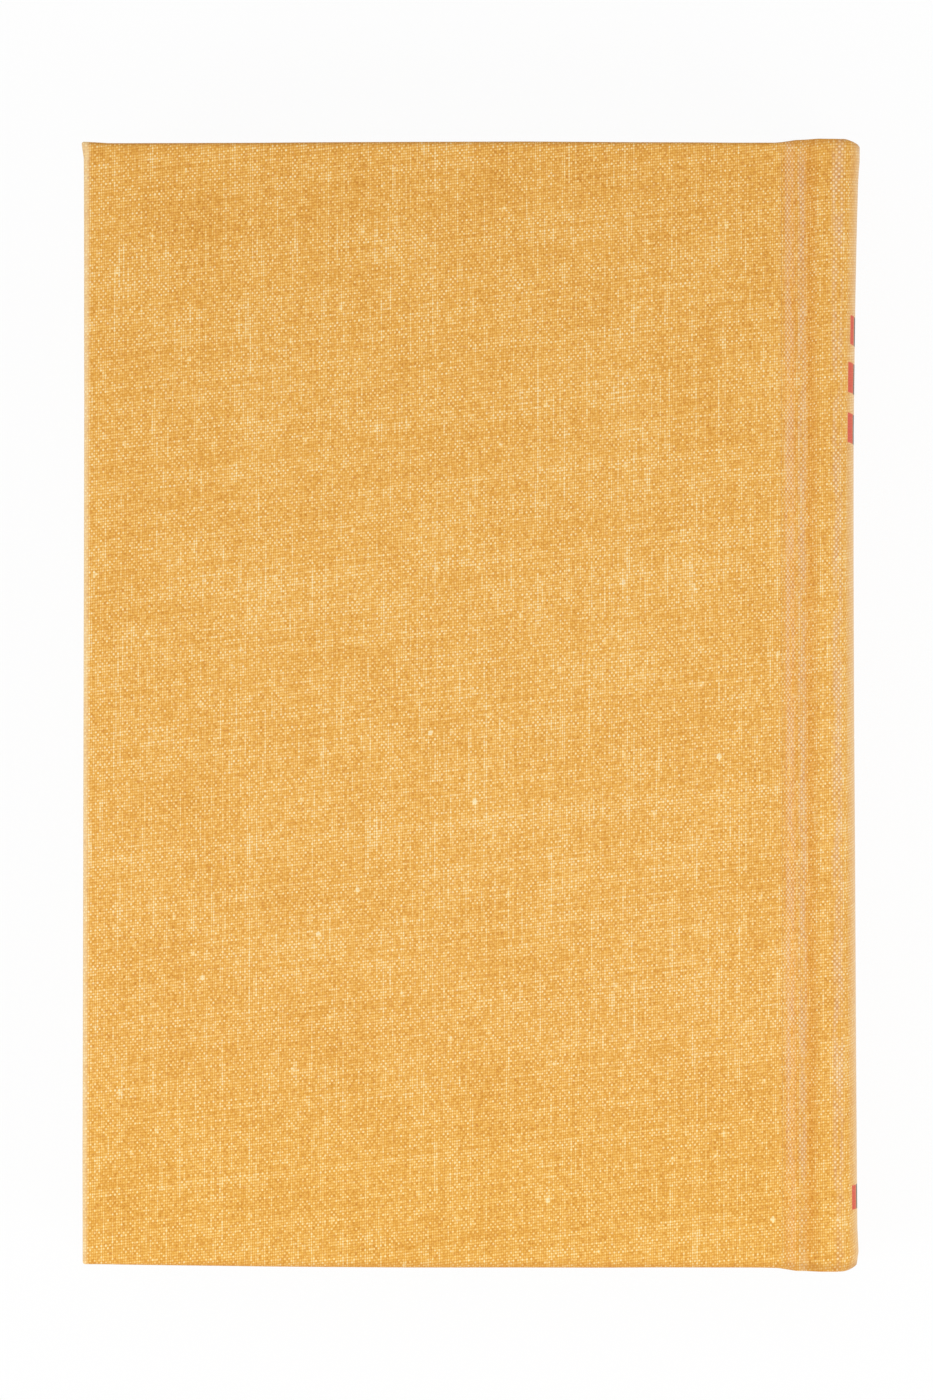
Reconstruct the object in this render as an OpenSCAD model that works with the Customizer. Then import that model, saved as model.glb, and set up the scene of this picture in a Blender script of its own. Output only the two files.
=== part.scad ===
// Hardback book with a cloth case, a rounded spine and pressed joints.
// It lies on its front cover: X runs from the fore edge to the spine, Y from tail to head, Z up.
// The origin is under the middle of the whole book, on the surface that it lies on.

/* [Boards] */
// Height of the boards, tail to head
board_l = 221; // [150:1:300]
// Width of the boards, fore edge to joint
board_w = 137.5; // [100:0.5:220]
// Thickness of the boards
board_t = 2.5; // [1.8:0.1:4]

/* [Cloth] */
// Thickness of the book cloth
cloth_t = 0.4; // [0.3:0.05:0.6]
// Width of the cloth that is turned in over the boards
turn_in = 15; // [10:1:25]
// Radius of the cloth over a board's edge
edge_r = 0.8; // [0.7:0.1:1.2]
// Radius of the cover's corners, seen from above
corner_r = 1.6; // [1:0.1:4]
// Width of the slit where two turn-ins meet at a corner
mitre_slit = 0.3; // [0.2:0.1:1]

/* [Joint] */
// Width of the joint between board and spine
joint_w = 7; // [6:0.5:12]
// Room between the cloth at the groove's bottom and the endpaper under it
joint_room = 0.7; // [0.4:0.1:1.5]
// Radius of the groove's bottom
groove_r = 2; // [1.2:0.1:2.4]
// How far the ridge lies below the cover's face
ridge_drop = 0.35; // [0.3:0.05:1]
// Running room between a cover's spine edge and the cloth of the joint
hinge_room = 0.35; // [0.3:0.05:0.6]

/* [Spine] */
// Width of the flat on top of the ridge
ridge_flat = 2.9; // [2:0.1:5]
// Inner radius where the lined cloth turns down from the ridge into the spine
lining_r = 0.5; // [0.3:0.1:1.5]
// How far the spine's middle bulges past its corners
spine_swell = 1.75; // [1:0.05:5]
// Thickness of the card in the spine
inlay_t = 0.9; // [0.5:0.1:1.2]
// How far the spine cloth reaches past the boards at head and tail
cap_reach = 0.7; // [0.4:0.1:2]
// Radius of the spine's corners, seen from above
cap_corner_r = 3; // [2:0.1:5]
// Width of the cloth turned in over the inlay at head and tail
spine_hem = 14; // [8:1:25]
// Room between the turned-in cloth and the lined spine of the block
hollow_gap = 0.6; // [0.4:0.1:1.5]

/* [Pages] */
// Thickness of the pages, without the endpapers
pages_t = 20; // [12:0.5:60]
// How far the boards stand past the pages at head, tail and fore edge
squares = 3; // [2:0.5:5]
// Radius of the shoulder that the outer leaves are bent over to
shoulder_r = 0.6; // [0.4:0.1:1.2]
// Radius of the bend where the leaves rise to the shoulder
shoulder_bend_r = 1.5; // [1:0.1:3]

/* [Endpapers] */
// Thickness of the endpapers
paper_t = 0.2; // [0.1:0.05:0.3]
// How much turned-in cloth shows round a pastedown
paper_margin = 3; // [2:0.5:6]
// Room between a cover and the block
leaf_gap = 0.3; // [0.3:0.05:0.8]

/* [Spine linings] */
// Diameter of a headband's bead
band_d = 2; // [1.5:0.1:2.6]
// Width of the tape that a headband is glued by
band_tape_w = 9; // [6:0.5:14]
// Thickness of the bands' tapes and of the mull
mull_t = 0.35; // [0.2:0.05:0.6]
// Space between the mull and each tape
mull_space = 4; // [1:0.5:15]
// Thickness of the paper liner
liner_t = 0.25; // [0.15:0.05:0.5]
// Thickness of a glue line
glue_t = 0.05; // [0.02:0.01:0.1]

/* [Hidden] */

// Facets in a quarter turn of a section's arc
quarter_steps = 8;
// Facets in the long arcs of spine and fore edge
arch_steps = 32;
// How far a cutting shape runs past what it cuts
past = 1;
// Angle up the corner between ridge and spine where the inlay ends
inlay_a = 60;

cloth_colour = [0.92, 0.71, 0.39];
board_colour = [0.62, 0.55, 0.46];
paper_colour = [0.95, 0.93, 0.86];
page_colour = [0.93, 0.90, 0.81];
card_colour = [0.76, 0.68, 0.54];
mull_colour = [0.88, 0.86, 0.80];
kraft_colour = [0.70, 0.54, 0.36];
band_colour = [0.96, 0.94, 0.88];

// Heights, from the floor. The book is the same above and below its middle.
cover_t = board_t + 2 * cloth_t + paper_t;
leaf_z = cover_t + leaf_gap;
total_t = 2 * (leaf_z + paper_t) + pages_t;
mid_z = total_t / 2;

// Places across the book are measured from the covers' fore edge.
cover_w = board_w + cloth_t;
cover_l = board_l + 2 * cloth_t;
hinge_x = cover_w + joint_w / 2;
page_l = cover_l - 2 * squares;
case_l = cover_l + 2 * cap_reach;

// The radii of case and block follow from the layers between them.
leaf_r = shoulder_r + paper_t;
ridge_r = leaf_r + leaf_gap + cloth_t;
lined_t = 2 * cloth_t + inlay_t;
spine_corner_r = lining_r + lined_t;
joint_depth = leaf_z - cloth_t - joint_room;

// The upper half of the case's section, as the centres of its arcs. A centre's height is above mid_z.
face_h = total_t / 2;
arris_c = [cover_w - edge_r, face_h - edge_r];
groove_c = [hinge_x, face_h - joint_depth + groove_r];
ridge_c = [hinge_x + joint_w / 2 + edge_r, face_h - ridge_drop - ridge_r];
turn_c = [ridge_c[0] + ridge_flat, face_h - ridge_drop - spine_corner_r];
spine_rise = spine_corner_r + spine_swell;
spine_x = turn_c[0] + spine_rise;
spine_r = arch_radius(spine_rise, turn_c[1], spine_corner_r);
turn_a = asin(turn_c[1] / (spine_r - spine_corner_r));
wall_in_a = wall_angle(arris_c, groove_c, edge_r, groove_r, 1);
wall_out_a = wall_angle(groove_c, ridge_c, groove_r, ridge_r, -1);

// The block's spine lies inside the case's, and its shoulders stand under the ridges.
block_x = spine_x - lined_t - hollow_gap - liner_t - mull_t - 2 * glue_t;
block_rise = block_x - ridge_c[0];
block_r = arch_radius(block_rise, ridge_c[1], shoulder_r);
shoulder_a = asin(ridge_c[1] / (block_r - shoulder_r));
book_w = spine_x;

// Radius of an arch that bulges by rise and meets a corner of radius r, centred h above the middle
function arch_radius(rise, h, r) = (rise * rise + h * h - r * r) / (2 * (rise - r));

// Slope of the straight wall between two arcs that bend opposite ways, as an angle from +X.
// way is 1 where the wall leaves a crest for a hollow, and -1 the other way round.
function wall_angle(from, to, r1, r2, way) =
    let (gap = to - from)
    atan2(gap[1], gap[0]) - way * asin((r1 + r2) / norm(gap));

// Points on an arc from angle a0 to a1
function arc(centre, r, a0, a1, steps) = [
    for (i = [0:steps])
        let (a = a0 + (a1 - a0) * i / steps)
        centre + r * [cos(a), sin(a)]
];

// The same points below the middle, in the order that carries a path on
function mirrored(path) = [for (i = [len(path) - 1:-1:0]) [path[i][0], -path[i][1]]];

// The same points in the other order
function backwards(path) = [for (i = [len(path) - 1:-1:0]) path[i]];

// The case's surface at a depth below the cloth's face: from the cover's edge down into the groove,
// up over the ridge and on round the corner to an angle
function joint_path(depth, end_a) = concat(
    [arris_c + (edge_r - depth) * [cos(90 + wall_in_a), sin(90 + wall_in_a)]],
    arc(groove_c, groove_r + depth, 270 + wall_in_a, 270 + wall_out_a, 2 * quarter_steps),
    arc(ridge_c, ridge_r - depth, 90 + wall_out_a, 90, quarter_steps),
    arc(turn_c, spine_corner_r - depth, 90, end_a, quarter_steps)
);

// The same surface over the inlay, from one corner of the spine to the other
function inlay_path(depth) =
    let (corner = arc(turn_c, spine_corner_r - depth, inlay_a, turn_a, quarter_steps))
    concat(
        corner,
        arc([spine_x - spine_r, 0], spine_r - depth, turn_a, -turn_a, arch_steps),
        mirrored(corner)
    );

// The outer leaf's surface at a depth below its top, from the flat of the pages up over the shoulder
function leaf_path(depth) =
    let (
        flat_h = pages_t / 2 + paper_t,
        rise = ridge_c[1] + leaf_r * cos(wall_out_a) - flat_h,
        bend = shoulder_bend_r * tan(wall_out_a / 2),
        foot_x = ridge_c[0] - leaf_r * sin(wall_out_a) - rise / tan(wall_out_a) - bend
    )
    concat(
        arc([foot_x, flat_h + shoulder_bend_r], shoulder_bend_r + depth, 270, 270 + wall_out_a,
            quarter_steps),
        arc(ridge_c, leaf_r - depth, 90 + wall_out_a, 90, quarter_steps)
    );

// Stands a section, drawn across and up into the book, in its place and runs it along the spine
module along_spine(length) {
    translate([-book_w / 2, 0, mid_z])
        rotate([90, 0, 0])
            linear_extrude(height = length, center = true)
                children();
}

// Turns a front piece into the back one
module as_back() {
    translate([0, 0, total_t])
        mirror([0, 0, 1])
            children();
}

// A square-cornered outline with rounded corners at its far end, from x0 to x1 and l long about X
module round_ended(x0, x1, l, r) {
    translate([x0, -l / 2])
        square([x1 - x0 - r, l]);
    translate([x1 - 2 * r, r - l / 2])
        square([2 * r, l - 2 * r]);
    for (side = [-1, 1])
        translate([x1 - r, side * (l / 2 - r)])
            circle(r = r, $fn = 48);
}

// A cover's solid, drawn as the front one and inset all round from the cloth's face. Its edges are
// rounded at head, tail and fore edge, and square at the joint.
module cover_form(inset) {
    r = edge_r - inset;
    w = cover_w - inset;
    l = cover_l - 2 * inset;
    t = board_t + 2 * (cloth_t - inset);
    translate([cover_w - book_w / 2, 0, inset])
        intersection() {
            linear_extrude(height = t)
                mirror([1, 0])
                    round_ended(0, w, l, corner_r - inset);
            translate([0, 0, t / 2])
                rotate([90, 0, 0])
                    linear_extrude(height = l, center = true)
                        mirror([1, 0])
                            round_ended(0, w, t, r);
            translate([-w, 0, t / 2])
                rotate([90, 0, 90])
                    linear_extrude(height = w)
                        for (way = [0, 1])
                            mirror([way, 0])
                                round_ended(0, l / 2, t, r);
        }
}

// The window that the turned-in cloth leaves open on a board's inner face, grown by some margin
module turn_in_window(grow, z0, z1) {
    side = turn_in - grow;
    translate([side - book_w / 2, side - cover_l / 2, z0])
        cube([cover_w, cover_l - 2 * side, z1 - z0]);
}

module cloth_form() {
    inner_z = cloth_t + board_t;
    slit_l = (turn_in - corner_r) * sqrt(2);
    difference() {
        cover_form(0);
        cover_form(cloth_t);
        turn_in_window(0, inner_z - past, inner_z + cloth_t + past);
        for (side = [-1, 1])
            translate([turn_in - book_w / 2, side * (cover_l / 2 - turn_in), inner_z])
                rotate([0, 0, -45 * side])
                    translate([-slit_l, -mitre_slit / 2, 0])
                        cube([slit_l + past, mitre_slit, cloth_t + past]);
    }
}

// The pastedown lies over the turned-in cloth and steps down to the board inside it
module pastedown_form() {
    inner_z = cloth_t + board_t;
    length = cover_l - 2 * paper_margin;
    difference() {
        translate([paper_margin - book_w / 2, -length / 2, inner_z])
            cube([cover_w - paper_margin, length, cloth_t + paper_t]);
        difference() {
            translate([-book_w / 2, -cover_l / 2, inner_z - past])
                cube([cover_w + past, cover_l, cloth_t + past]);
            turn_in_window(0, inner_z - 2 * past, inner_z + 2 * past);
        }
        turn_in_window(-paper_t, inner_z + paper_t, inner_z + 2 * past);
    }
}

module front_board() {
    color(board_colour)
        cover_form(cloth_t);
}

module front_cloth() {
    color(cloth_colour)
        cloth_form();
}

module front_pastedown() {
    color(paper_colour)
        pastedown_form();
}

module back_board() {
    color(board_colour)
        as_back()
            cover_form(cloth_t);
}

module back_cloth() {
    color(cloth_colour)
        as_back()
            cloth_form();
}

module back_pastedown() {
    color(paper_colour)
        as_back()
            pastedown_form();
}

// The pages: flat sides, shoulders that flare under the ridges, a round spine and a hollow fore edge
module page_block() {
    fore_a = asin(pages_t / 2 / block_r);
    shoulder = concat(
        leaf_path(paper_t),
        arc(ridge_c, shoulder_r, 90, shoulder_a, quarter_steps)
    );
    color(page_colour)
        along_spine(page_l)
            polygon(concat(
                arc([squares - block_r * cos(fore_a), 0], block_r, -fore_a, fore_a, arch_steps),
                shoulder,
                arc([block_x - block_r, 0], block_r, shoulder_a, -shoulder_a, arch_steps),
                mirrored(shoulder)
            ));
}

module leaf_form() {
    color(paper_colour)
        along_spine(page_l)
            polygon(concat(
                [[squares, pages_t / 2 + paper_t]],
                leaf_path(0),
                backwards(leaf_path(paper_t)),
                [[squares, pages_t / 2]]
            ));
}

module back_flyleaf() {
    leaf_form();
}

module front_flyleaf() {
    as_back()
        leaf_form();
}

// Runs a profile round the block's spine, from shoulder to shoulder. The profile's X is its distance
// from the centre of the round, and its Y runs along the spine.
module round_spine() {
    translate([block_x - block_r - book_w / 2, 0, mid_z])
        rotate([-90, 0, 0])
            rotate([0, 0, -shoulder_a])
                rotate_extrude(angle = 2 * shoulder_a, $fn = 4 * arch_steps)
                    children();
}

// A layer on the block's spine that starts at a height above the pages
module spine_layer(height, thickness, length) {
    round_spine()
        translate([block_r + height, -length / 2])
            square([thickness, length]);
}

module spine_mull() {
    color(mull_colour)
        spine_layer(glue_t, mull_t, page_l - 2 * (band_tape_w + mull_space));
}

module spine_liner() {
    color(kraft_colour)
        spine_layer(2 * glue_t + mull_t, liner_t, page_l);
}

// A band's bead lies on the ends of the pages, and its tape is glued down their spine
module head_band() {
    bead_r = band_d / 2;
    face_r = block_r + glue_t + mull_t;
    end_y = page_l / 2;
    color(band_colour)
        round_spine() {
            translate([face_r - bead_r, end_y + glue_t + bead_r])
                circle(r = bead_r, $fn = 32);
            translate([face_r - mull_t, end_y - band_tape_w])
                square([mull_t, band_tape_w + glue_t + bead_r]);
        }
}

module tail_band() {
    mirror([0, 1, 0])
        head_band();
}

// The spine seen from above, inset from the cloth's face: rounded at its outer corners, and
// running out from the covers' edges over the first half of the joint
module cap_form(inset) {
    l = case_l - 2 * inset;
    translate([-book_w / 2, 0, -past])
        linear_extrude(height = total_t + 2 * past) {
            round_ended(hinge_x, spine_x - inset, l, cap_corner_r - inset);
            polygon([
                [cover_w, -cover_l / 2], [hinge_x + past, -l / 2],
                [hinge_x + past, l / 2], [cover_w, cover_l / 2]
            ]);
        }
}

// A layer of the spine between two depths below the cloth's face, as wide as the inlay
module inlay_layer(depth0, depth1, length) {
    along_spine(length)
        polygon(concat(inlay_path(depth0), backwards(inlay_path(depth1))));
}

// The room that the inlay fills, a little shorter than the spine so that the cloth goes round its ends
module inlay_form() {
    intersection() {
        inlay_layer(cloth_t, cloth_t + inlay_t, case_l - 2 * cloth_t);
        cap_form(cloth_t);
    }
}

module spine_inlay() {
    color(card_colour)
        inlay_form();
}

// Keeps what lies clear of the covers' spine edges
module clear_of_covers() {
    intersection() {
        children();
        translate([cover_w + hinge_room, -face_h])
            square([spine_x, 2 * face_h]);
    }
}

// The outer layer of the cloth, in one sweep from joint to joint
module cloth_sheet() {
    along_spine(case_l)
        clear_of_covers()
            polygon(concat(
                joint_path(0, inlay_a), inlay_path(0), mirrored(joint_path(0, inlay_a)),
                backwards(concat(
                    joint_path(cloth_t, inlay_a), inlay_path(cloth_t),
                    mirrored(joint_path(cloth_t, inlay_a))
                ))
            ));
}

// The second layer at the head of both joints, from the middle of the first
module joint_hem(length) {
    end_a = (inlay_a + turn_a) / 2;
    translate([0, (case_l - length) / 2, 0])
        along_spine(length)
            clear_of_covers()
                for (side = [0, 1])
                    mirror([0, side])
                        polygon(concat(
                            joint_path(cloth_t / 2, end_a), backwards(joint_path(2 * cloth_t, end_a))
                        ));
}

// One sheet from cover to cover: down into a groove, over a ridge, round the spine and back.
// At head and tail it is turned in, over the inlay in full and in the joints up to the pages.
module spine_cloth() {
    color(cloth_colour)
        difference() {
            intersection() {
                union() {
                    cloth_sheet();
                    for (end = [0, 1])
                        mirror([0, end, 0]) {
                            joint_hem(squares + cap_reach - leaf_gap);
                            translate([0, (case_l - spine_hem) / 2, 0])
                                inlay_layer(cloth_t / 2, lined_t, spine_hem);
                        }
                }
                cap_form(0);
            }
            inlay_form();
        }
}

page_block();
back_flyleaf();
front_flyleaf();
head_band();
tail_band();
spine_mull();
spine_liner();
spine_inlay();
spine_cloth();
back_board();
back_cloth();
back_pastedown();
front_board();
front_cloth();
front_pastedown();
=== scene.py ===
"""Dresses the hardback book: its case cloth, endpapers, page edges and headbands.

X runs from the fore edge to the spine, Y from tail to head and Z up, in metres. The book lies on
its front cover. The case is drawn in millimetres as a section across the book, with x from the
covers' fore edge and h above the book's middle, and is then swept along Y.
"""
import math
from collections import namedtuple

import bmesh
import bpy
import numpy as np
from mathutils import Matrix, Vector


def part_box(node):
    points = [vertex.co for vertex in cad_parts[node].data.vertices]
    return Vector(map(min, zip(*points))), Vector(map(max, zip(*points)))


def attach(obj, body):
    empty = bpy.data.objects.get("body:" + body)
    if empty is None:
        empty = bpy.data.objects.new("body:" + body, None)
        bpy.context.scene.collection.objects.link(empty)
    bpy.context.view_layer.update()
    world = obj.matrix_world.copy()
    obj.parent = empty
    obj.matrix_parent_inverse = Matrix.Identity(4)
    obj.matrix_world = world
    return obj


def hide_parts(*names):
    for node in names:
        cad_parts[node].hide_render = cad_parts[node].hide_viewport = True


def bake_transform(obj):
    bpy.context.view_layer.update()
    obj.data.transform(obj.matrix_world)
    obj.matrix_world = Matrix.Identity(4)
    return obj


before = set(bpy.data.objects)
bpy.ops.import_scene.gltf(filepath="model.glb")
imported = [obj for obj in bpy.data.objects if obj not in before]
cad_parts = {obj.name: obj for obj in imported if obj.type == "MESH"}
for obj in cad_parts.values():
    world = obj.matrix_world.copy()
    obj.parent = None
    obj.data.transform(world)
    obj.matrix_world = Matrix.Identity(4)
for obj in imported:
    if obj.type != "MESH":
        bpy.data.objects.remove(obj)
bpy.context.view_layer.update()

MM = 0.001


def corners(node):
    """A node's lowest and highest corner in millimetres."""
    low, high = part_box(node)
    return np.array(low) / MM, np.array(high) / MM


cover_low, cover_high = corners("back_cloth")
spine_low, spine_high = corners("spine_cloth")
block_low, block_high = corners("page_block")

# Sizes that the solids give
FORE_X = cover_low[0]
MID_Z = (spine_high[2] + spine_low[2]) / 2
FACE_H = cover_high[2] - MID_Z
COVER_W = cover_high[0] - cover_low[0]
COVER_L = cover_high[1] - cover_low[1]
COVER_T = cover_high[2] - cover_low[2]
CASE_L = spine_high[1] - spine_low[1]
SPINE_X = spine_high[0] - FORE_X
PAGE_L = block_high[1] - block_low[1]
BLOCK_X = block_high[0] - FORE_X
SQUARES = (COVER_L - PAGE_L) / 2

# Thickness of each layer. A sheet that stands for a solid is thinner than it by a hair or a few.
CLOTH_T = 0.4
CARD_T = 0.9
PAPER_T = 0.2
PAGES_T = 20.0
HAIR = 0.01

# The pressed joint: its width and depth, the groove in it and the ridge beside the spine
JOINT_W = 7.0
JOINT_DEPTH = 2.7
GROOVE_R = 2.0
RIDGE_R = 1.5
RIDGE_DROP = 0.35
RIDGE_FLAT = 2.9

# Cloth turned in over a board, over the card in the spine and in the joint
TURN_IN = 15.0
SPINE_HEM = 14.0
JOINT_HEM = 3.4

# Radius of the cloth round a board's edge and corner, and at the corner of the spine
EDGE_R = 0.8
CORNER_R = 0.5
SPINE_CORNER_R = 2.2

# The outer leaf's radii over the shoulder and at its foot, and the shoulder's own
LEAF_R = 0.8
LEAF_BEND_R = 1.5
SHOULDER_R = 0.6

# How far the spine cloth's ends draw in towards the spine's face, over a last stretch. A dip
# below 0 reaches out.
CAP_W = 4.6
TAIL_DIP = 0.05
HEAD_DIP = -0.3

# Angle on the spine's corners where its card ends
CARD_END_A = 60.0
# How far in from a cover's edge its endpaper ends
PAPER_MARGIN = 3.0

# The case cloth is one sheet, parted between the bodies on the flat of each cover and on each ridge
PART_X = 130.0
HINGE_X = COVER_W + JOINT_W / 2
# Stations on the cover's flat, closer together towards its edge
FLAT_STATIONS = (PART_X, 132.0, 134.0, 135.5, 136.5)
# The joint bends from just past the groove's middle to the cover's edge
BEND_START = HINGE_X + 1.0
BEND_END = HINGE_X - JOINT_W / 2

ARRIS = np.array([COVER_W - EDGE_R, FACE_H - EDGE_R])
GROOVE = np.array([HINGE_X, FACE_H - JOINT_DEPTH + GROOVE_R])
RIDGE = np.array([HINGE_X + JOINT_W / 2 + EDGE_R, FACE_H - RIDGE_DROP - RIDGE_R])
TURN = np.array([RIDGE[0] + RIDGE_FLAT, FACE_H - RIDGE_DROP - SPINE_CORNER_R])

# Stretches across the book over which something sets in: the card under the spine cloth, the
# spine's deeper hem, the joint's shallow one, the step at head and tail, and the spine's flare
CARD_RAMP = (TURN[0] - 0.6, TURN[0] + 1.1)
SPINE_HEM_RAMP = (TURN[0] - 0.6, TURN[0] + 1.0)
JOINT_HEM_RAMP = (COVER_W - 1.0, COVER_W + 0.6)
STEP_OUT_RAMP = (COVER_W - 1.4, HINGE_X - 0.2)
FLARE_RAMP = (RIDGE[0] + 0.6 * RIDGE_FLAT, SPINE_X - 0.6)


def arch_radius(rise, height, radius):
    """Radius of an arch that bulges by rise and meets a corner of a radius, that high above middle."""
    return (rise**2 + height**2 - radius**2) / (2 * (rise - radius))


SPINE_R = arch_radius(SPINE_X - TURN[0], TURN[1], SPINE_CORNER_R)
TURN_A = math.degrees(math.asin(TURN[1] / (SPINE_R - SPINE_CORNER_R)))
BLOCK_R = arch_radius(BLOCK_X - RIDGE[0], RIDGE[1], SHOULDER_R)
SHOULDER_A = math.degrees(math.asin(RIDGE[1] / (BLOCK_R - SHOULDER_R)))


def wall_angle(a, b, r1, r2, way):
    """Slope of the straight wall between two arcs that bend opposite ways."""
    gap = b - a
    return math.degrees(math.atan2(gap[1], gap[0]) - way * math.asin((r1 + r2) / np.hypot(*gap)))


WALL_IN = wall_angle(ARRIS, GROOVE, EDGE_R, GROOVE_R, 1)
WALL_OUT = wall_angle(GROOVE, RIDGE, GROOVE_R, RIDGE_R, -1)

# The outer leaf lies flat on the pages and rises over the shoulder
LEAF_H = PAGES_T / 2 + PAPER_T
LEAF_FOOT_X = (
    RIDGE[0] - LEAF_R * math.sin(math.radians(WALL_OUT))
    - (RIDGE[1] + LEAF_R * math.cos(math.radians(WALL_OUT)) - LEAF_H)
    / math.tan(math.radians(WALL_OUT))
    - LEAF_BEND_R * math.tan(math.radians(WALL_OUT / 2))
)

# How far the spine cloth stands out past its straight line, as places from tail to head with the
# distance at each. Both ends flare, and lean in again over their last two millimetres.
FLARE = [
    (-111.8, -0.1), (-111.2, 0.4), (-110.5, 0.75), (-109.4, 0.8), (-107.8, 0.75), (-104.0, 0.55),
    (-92.0, 0.48), (-70.0, 0.37), (-30.0, 0.22), (0.0, 0.07), (30.0, 0.02), (55.0, 0.08),
    (80.0, 0.45), (95.0, 0.78), (104.0, 1.05), (108.3, 1.3), (109.4, 1.6), (110.0, 1.65),
    (110.7, 1.55), (111.2, 1.25), (111.8, 0.3),
]

# How far the covers' edges stand out past their straight lines: along x at head and tail, and
# along y at the fore edge
HEAD_EDGE = [
    (0, 0.1), (2.7, 0.14), (4.2, 0.05), (9, 0.04), (34, 0.06), (44, 0.13), (54, 0.17), (64, 0.19),
    (78, 0.2), (88, 0.2), (98, 0.12), (108, 0.03), (118, -0.02), (123, -0.06), (128, -0.12),
    (138, -0.14), (142, 0.0), (147, -0.1),
]
TAIL_EDGE = [
    (0, -0.14), (4, -0.12), (9, -0.04), (19, 0.08), (29, 0.18), (34, 0.25), (44, 0.33), (54, 0.39),
    (64, 0.43), (73, 0.42), (83, 0.39), (103, 0.4), (113, 0.33), (133, 0.33), (138, 0.42), (147, 0.42),
]
FORE_EDGE = [(-110, 0.0), (-90, 0.08), (60, 0.08), (72, 0.14), (88, 0.18), (103, 0.25), (111, 0.28)]
# How far in from a cover's edge its line is still felt
EDGE_FADE = 8.0

# A cover's raised corners at the head: how far they stand out across and along, and how wide
EAR_OUT = (0.45, 0.25)
EAR_W = (2.4, 1.8)
# Depth of the slow waves in a cover's face
WAVE_H = 0.035

# Rows and columns of the meshes
FACE_COLUMNS = 66
FACE_ROWS = 100
BODY_ROWS = 90
CARD_ROWS = 60
BEND_STEPS = 5
HEM_ROWS = 8
CORNER_COLUMNS = 7
ROUND_STATIONS = 49
PAPER_COLUMNS = 30
PAPER_ROWS = 34
LEAF_COLUMNS = 40
LEAF_STEPS = 8

# How far in from a cover's edge the rows of its turned-in border lie
BORDER_INSETS = (1.2, 1.7, 2.4, 4.0, 6.5, 10.0, 13.0, TURN_IN)
# The crease where two turned-in borders meet at a corner: height, width and the insets over
# which it rises
CREASE_H = 0.14
CREASE_W = 0.45
CREASE_RAMP = (1.2, 2.4)


def arc(centre, radius, a0, a1, steps, hollow=False):
    """Stations on an arc: x, h and the outward direction, which in a hollow is towards its centre."""
    a = np.radians(np.linspace(a0, a1, steps + 1))
    out = np.stack([np.cos(a), np.sin(a)], 1)
    return np.hstack([centre + radius * out, -out if hollow else out])


def level(xs, h):
    """Stations on a level line that faces up."""
    return np.array([[x, h, 0.0, 1.0] for x in xs])


def wall(a, b, steps):
    """Stations on the straight wall between two arcs, without its ends."""
    share = np.linspace(0, 1, steps + 1)[1:-1, None]
    return a * (1 - share) + b * share


def upper_case():
    """The back half of the case's section, from the cover's flat to the corner of the spine."""
    arris = arc(ARRIS, EDGE_R, 90, 90 + WALL_IN, 6)
    groove = arc(GROOVE, GROOVE_R, 270 + WALL_IN, 270 + WALL_OUT, 14, hollow=True)
    ridge = arc(RIDGE, RIDGE_R, 90 + WALL_OUT, 90, 7)
    ridge_top = [RIDGE[0] + RIDGE_FLAT * share for share in (0.25, 0.5, 0.75)]
    return np.vstack([
        level(FLAT_STATIONS, FACE_H),
        arris, wall(arris[-1], groove[0], 12),
        groove, wall(groove[-1], ridge[0], 3),
        ridge, level(ridge_top, FACE_H - RIDGE_DROP),
        arc(TURN, SPINE_CORNER_R, 90, TURN_A, 12),
    ])


def developed(stations, start=0.0):
    """Length along the section up to each station."""
    steps = np.hypot(*np.diff(stations[:, :2], axis=0).T)
    return start + np.concatenate([[0], np.cumsum(steps)])


def smooth(value, low, high):
    """0 below low, 1 above high and an even curve between."""
    t = np.clip((np.asarray(value, float) - low) / (high - low), 0, 1)
    return t * t * (3 - 2 * t)


def inner_rail(outer):
    """The inside of the turned-in cloth under each station of the back half of the section."""
    x, h, nx, nh = outer.T
    depth = 2 * CLOTH_T + CARD_T * smooth(x, *CARD_RAMP)
    rail = np.stack([x - nx * depth, h - nh * depth], 1)
    edge = np.array([ARRIS[0], FACE_H - COVER_T])
    on_board = x <= edge[0] + 1e-6
    rail[on_board, 0], rail[on_board, 1] = x[on_board], edge[1]
    first = int(on_board.sum())
    in_groove = x[first:] <= RIDGE[0]
    bottom = first + int(np.argmin(np.where(in_groove, h[first:], np.inf)))
    run = developed(outer[first - 1:bottom + 1])
    share = (run / run[-1])[1:, None]
    rail[first:bottom + 1] = edge * (1 - share) + rail[bottom] * share
    return rail


# The whole section, from the back cover's flat round the spine to the front cover's
UPPER = upper_case()
SPINE_ARC = arc((SPINE_X - SPINE_R, 0), SPINE_R, TURN_A, -TURN_A, 28)
CASE = np.vstack([UPPER, SPINE_ARC[1:-1], UPPER[::-1] * np.array([1, -1, 1, -1])])
CASE_U = developed(CASE, PART_X)
MID_U = (CASE_U[0] + CASE_U[-1]) / 2
UPPER_INNER = inner_rail(UPPER)
INNER = np.vstack([
    UPPER_INNER,
    SPINE_ARC[1:-1, :2] - SPINE_ARC[1:-1, 2:] * (2 * CLOTH_T + CARD_T),
    UPPER_INNER[::-1] * np.array([1, -1]),
])
RIDGE_STATION = int(np.argmin(np.abs(UPPER[:, 0] - RIDGE[0] - RIDGE_FLAT / 2)))
LAST_RIDGE_STATION = len(CASE) - 1 - RIDGE_STATION


def edge_out(table, place):
    """How far an edge stands out at a place along it."""
    return np.interp(place, *np.array(table).T)


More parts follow.
